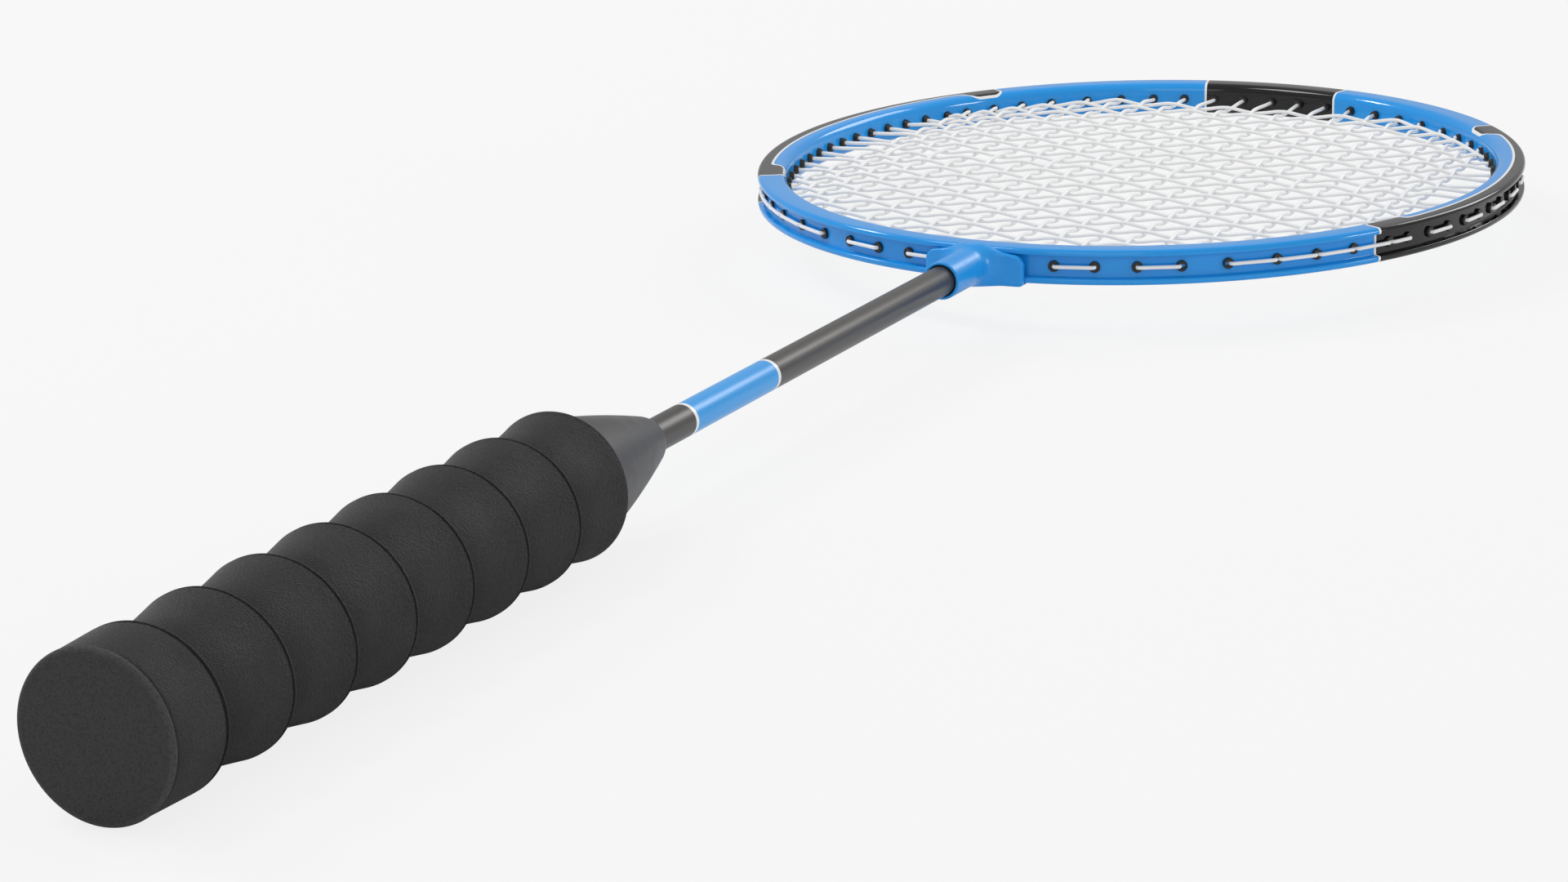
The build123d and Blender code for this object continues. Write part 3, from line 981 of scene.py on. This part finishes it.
def gripLeather():
    material, tree, shader = newMaterial("gripLeather")
    s = handle
    place = addNode(tree, "ShaderNodeTexCoord").outputs["Object"]
    x, y, z = addNode(tree, "ShaderNodeSeparateXYZ", {"Vector": place}).outputs
    across, up = s["lean"]
    skew = calc(tree, "ADD", calc(tree, "MULTIPLY", x, across), calc(tree, "MULTIPLY", z, up))
    along = calc(tree, "SUBTRACT", calc(tree, "SUBTRACT", y, skew), lipPlace(0) - s["pitch"])
    # 0 just past a lip, 1 at the next
    share = calc(tree, "FRACT", calc(tree, "DIVIDE", along, s["pitch"]))
    # 1 in the valley just past a lip, 0 from the middle of the turn on; it sets the painted shade
    # below and the creases' bumps
    valley = spread(tree, share, 0.05, 0.55, 1.0, 0.0, smooth=True)
    nearLip = spread(tree, share, 0.62, 0.97, 0.0, 1.0, smooth=True)
    grain = leatherGrain(tree, place, 2300.0)
    wrinkles = speckle(tree, objectPlace(tree, (1, 0.13, 1)), 2600.0, 2.0)
    worn = spread(tree, speckle(tree, place, 60.0), 0.35, 0.7, 0.0, 1.0)
    base = mixColours(tree, worn, colours["gripBlack"], colours["gripWorn"])
    # painted shadow: the colour is darkened in the seam's groove just before each lip
    seamShare, width = s["seamPlace"] / s["pitch"], s["seamWidth"] / s["pitch"]
    fromSeam = calc(tree, "ABSOLUTE", calc(tree, "SUBTRACT", share, 1 - (seamShare + width / 2)))
    seam = spread(tree, fromSeam, width * 0.3, width * 0.75, 0.15, 1.0)
    # painted highlight: the colour brightens up to twice on the small bead at each lip's edge
    bead = spread(tree, share, 1 - seamShare, 1 - seamShare * 0.6, 1.0, 2.0)
    grained = spread(tree, grain, 0.35, 0.85, 0.45, 1.4)
    # painted shade: the grain's tone darkens towards each valley's bottom, where the lip before it
    # shades the turn
    shade = calc(tree, "MULTIPLY", grained, spread(tree, valley, 0, 1, 1.1, 0.15))
    shade = calc(tree, "MULTIPLY", calc(tree, "MULTIPLY", shade, seam), bead)
    shaded = addNode(tree, "ShaderNodeVectorMath", {0: base, "Scale": shade}, operation="SCALE")
    tree.links.new(shaded.outputs[0], shader.inputs["Base Color"])
    tree.links.new(spread(tree, grain, 0.3, 0.9, 0.56, 0.42), shader.inputs["Roughness"])
    shader.inputs["Specular IOR Level"].default_value = 0.26
    coarse = bumpFrom(tree, shader, speckle(tree, place, 140.0), 0.12, 0.25 * mm)
    creases = calc(tree, "MULTIPLY_ADD", valley, 0.5, 0.12)
    creased = bumpFrom(tree, shader, wrinkles, creases, 0.15 * mm, coarse)
    bumpFrom(tree, shader, grain, calc(tree, "MULTIPLY_ADD", nearLip, 0.4, 0.6), 0.26 * mm, creased)
    return material


def buttLeather():
    material, tree, shader = newMaterial("buttLeather")
    place = addNode(tree, "ShaderNodeTexCoord").outputs["Object"]
    grain = leatherGrain(tree, place, 1900.0)
    x, _, z = addNode(tree, "ShaderNodeSeparateXYZ", {"Vector": place}).outputs
    around, edge = hypotenuse(tree, x, z), handle["buttRadius"]
    # the colour grows lighter towards the disc's rim
    towardsRim = spread(tree, around, edge - 1.4 * mm, edge - 0.5 * mm, 0.0, 1.0, smooth=True)
    base = mixColours(tree, towardsRim, colours["buttGrey"], colours["buttRim"])
    shade = spread(tree, grain, 0.35, 0.85, 0.7, 1.2)
    shaded = addNode(tree, "ShaderNodeVectorMath", {0: base, "Scale": shade}, operation="SCALE")
    tree.links.new(shaded.outputs[0], shader.inputs["Base Color"])
    tree.links.new(spread(tree, grain, 0.3, 0.9, 0.7, 0.58), shader.inputs["Roughness"])
    shader.inputs["Specular IOR Level"].default_value = 0.3
    bumpFrom(tree, shader, grain, 1.0, 0.4 * mm)
    return material


def lipPlace(turn):
    return gripHigh.y - handle["pitch"] * (handle["turns"] - 1 - turn)


# (radius, y) of the wrap, from the butt: a turn flares up to a seam and a small bead, then drops
def gripLine():
    s = handle
    hem, ease, end = s["lipRadius"] - s["hemInset"], s["hemRounding"], s["lastRounding"]
    line = [Vector((s["discRadius"], gripLow.y)), Vector((s["discRadius"], s["hemPlace"])),
            Vector((hem - ease, s["hemPlace"])), Vector((hem, s["hemPlace"] + ease))]
    for turn in range(s["turns"]):
        lip, radius = lipPlace(turn), s["lipRadius"] - s["lipTaper"] * turn
        start, last = line[-1], turn == s["turns"] - 1
        width = s["firstSeam"] if turn == 0 else s["seamWidth"]
        seam = lip - s["seamPlace"] - width
        if last:
            seam = lip - end
        for k in range(1, 17):
            t = k / 16
            rise = t if turn == 0 else t ** s["flare"]
            line.append(Vector((
                start.x + (radius - start.x) * rise, start.y + (seam - start.y) * t)))
        if last:
            for k in range(1, 9):
                a = math.pi / 2 * k / 8
                line.append(Vector((radius - end * (1 - math.cos(a)), seam + end * math.sin(a))))
            line.append(Vector((coneBase + 0.05 * mm, lip)))
            line.append(Vector((coneBase + 0.05 * mm, lip - 6 * mm)))
            continue
        for share, depth in s["seamCurve"]:
            line.append(Vector((radius - s["seamDepth"] * depth, seam + width * share)))
        bead = s["seamPlace"] / 2
        for k in range(9):
            a = math.pi * k / 8
            line.append(Vector((
                radius - bead + bead * math.sin(a), lip - bead - bead * math.cos(a))))
        for share, depth in s["valleyCurve"]:
            line.append(Vector((radius - s["valleyDepth"] * depth, lip + s["valleyWidth"] * share)))
    return line


# shifts every turn but the ends of the wrap along the handle, more on one side
def leanTurns(piece):
    across, up = handle["lean"]
    for v in piece.data.vertices:
        p = v.co
        nearButt = (p.y - gripLow.y - 2 * mm) / (10 * mm)
        nearCone = (gripHigh.y - 3 * mm - p.y) / (15 * mm)
        hold = min(nearButt, nearCone, 1)
        if hold > 0 and math.hypot(p.x, p.z) > coneBase - 2 * mm:
            p.y += hold * (across * p.x + up * p.z)


coneLow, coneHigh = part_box("cone_cap")
coneBase = coneHigh.x
cone = {
    "tipRadius": 5.9 * mm,
    "bulge": 0.62 * mm,
    "seatLength": 2.0 * mm,
    "steps": 28,
    "sides": 128,
}


def buildCore():
    nodes["handle_core"].data.materials.clear()
    nodes["handle_core"].data.materials.append(coreWood())


def buildGrip():
    line = gripLine()
    line.append(Vector((coneBase - 3 * mm, line[-1].y)))
    line.append(Vector((line[-1].x, gripLow.y)))
    line.append(line[0].copy())
    grip = spinAboutShaft("gripWrap", line, handle["sides"])
    leanTurns(grip)
    grip.data.materials.append(gripLeather())
    softShade(grip, 50)
    rideFrame(grip, "grip_black", "grip_wrap")


def buildCone():
    shoulder = gripHigh.y - cone["seatLength"]
    profile = [Vector((shaft["radius"], coneLow.y)), Vector((coneBase, coneLow.y))]
    steps = cone["steps"]
    for k in range(steps + 1):
        t = k / steps
        radius = coneBase + (cone["tipRadius"] - coneBase) * t + cone["bulge"] * 4 * t * (1 - t)
        profile.append(Vector((radius, shoulder + (coneHigh.y - shoulder) * t)))
    rim = profile[-1]
    profile[-1] = rim - Vector((0.0, 0.35 * mm))
    profile += [rim - Vector((0.12 * mm, 0.08 * mm)), rim - Vector((0.35 * mm, 0)),
                Vector((shaft["radius"] + 0.02 * mm, coneHigh.y)), profile[0].copy()]
    cap = spinAboutShaft("coneCap", profile, cone["sides"])
    cap.data.materials.append(conePlastic())
    softShade(cap, 40)
    rideFrame(cap, "cone_grey", "cone_cap")


def buildButt():
    buttLow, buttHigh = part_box("butt_cap")
    air = 0.05 * mm
    wide, inner, step = handle["buttRadius"], handle["discRadius"] - air, handle["hemPlace"] - air
    disc = roundOff([
        (0, buttLow.y, 0), (wide, buttLow.y, 0.85 * mm), (wide, step, air),
        (inner, step, 0), (inner, buttHigh.y, 0), (0, buttHigh.y, 0)], 8)
    disc.insert(1, Vector((wide / 2, buttLow.y)))
    butt = spinAboutShaft("buttCap", disc, handle["sides"])
    butt.data.materials.append(buttLeather())
    softShade(butt, 50)
    rideFrame(butt, "butt_grey", "butt_cap")


buildCore()
buildGrip()
buildCone()
buildButt()
print("handle done")


# floor, light and camera

studio = {
    "floorHeight": cadBox[0].z - 0.5 * mm,
    "paper": 0.945,                # what the camera sees behind the racket
    "floorFade": 0.88,             # how much of the floor the camera sees as plain paper
    "worldLight": 0.50,
    "keyLight": {"place": (-1.5, 0.45, 1.35), "size": 0.32, "watts": 9.0},
    "topLight": {"place": (-0.8, 0.1, 1.75), "size": 0.6, "watts": 8.5},
    "backLight": {"place": (0.8, 2.5, 1.35), "size": 1.0, "watts": 15.0},
    "sideLight": {"place": (2.0, 0.8, 0.4), "size": 0.35, "watts": 6.0},
    "frontLight": {"place": (0.6, -1.5, 0.95), "size": 1.2, "watts": 4.5},
    "cameraPlace": (0.42935, -0.58376, 0.25614),
    "cameraTurn": (74.277, 0.917, 25.757),
    "lens": 92.85,
}


def buildFloor():
    size, height = 6.0, studio["floorHeight"]
    floor = placeMesh("floor", [
        (-size, -size, height), (size, -size, height), (size, size, height), (-size, size, height)],
        [(0, 1, 2, 3)])
    material, tree, shader = newMaterial("paperFloor")
    mottle = spread(tree, speckle(tree, objectPlace(tree), 3.0), 0.3, 0.7, 0.0, 1.0)
    base = mixColours(tree, mottle, colours["floorPale"], colours["floorPaler"])
    tree.links.new(base, shader.inputs["Base Color"])
    shader.inputs["Roughness"].default_value = 0.9
    shader.inputs["Specular IOR Level"].default_value = 0.1
    paper = addNode(tree, "ShaderNodeEmission", {
        "Color": (1, 1, 1, 1), "Strength": studio["paper"]})
    ray = addNode(tree, "ShaderNodeLightPath").outputs["Is Camera Ray"]
    seen = calc(tree, "MULTIPLY", ray, studio["floorFade"])
    mixed = addNode(tree, "ShaderNodeMixShader", {
        0: seen, 1: shader.outputs[0], 2: paper.outputs[0]})
    tree.links.new(mixed.outputs[0], tree.nodes["Material Output"].inputs["Surface"])
    floor.data.materials.append(material)


def lightWorld():
    world = bpy.data.worlds.new("studioWorld")
    bpy.context.scene.world = world
    world.use_nodes = True
    tree, light = world.node_tree, studio["worldLight"]
    background = tree.nodes["Background"]
    ray = addNode(tree, "ShaderNodeLightPath").outputs["Is Camera Ray"]
    strength = calc(tree, "ADD", calc(tree, "MULTIPLY", ray, studio["paper"] - light), light)
    background.inputs["Color"].default_value = (1, 1, 1, 1)
    tree.links.new(strength, background.inputs["Strength"])


def hangLamps():
    for name in ("keyLight", "topLight", "backLight", "sideLight", "frontLight"):
        plan = studio[name]
        light = bpy.data.lights.new(name, "AREA")
        light.size, light.energy = plan["size"], plan["watts"]
        lamp = bpy.data.objects.new(name, light)
        lamp.location = plan["place"]
        towards = Vector((0, headCentre, 0)) - Vector(plan["place"])
        lamp.rotation_euler = towards.to_track_quat("-Z", "Y").to_euler()
        bpy.context.scene.collection.objects.link(lamp)


def placeCamera():
    camera = bpy.data.cameras.new("camera")
    camera.lens, camera.sensor_width = studio["lens"], 36
    camera.clip_start, camera.clip_end = 0.01, 50
    eye = bpy.data.objects.new("camera", camera)
    eye.location = studio["cameraPlace"]
    eye.rotation_euler = [math.radians(a) for a in studio["cameraTurn"]]
    bpy.context.scene.collection.objects.link(eye)
    bpy.context.scene.camera = eye
    bpy.context.scene.view_settings.view_transform = "Standard"


buildFloor()
lightWorld()
hangLamps()
placeCamera()
print("studio done")
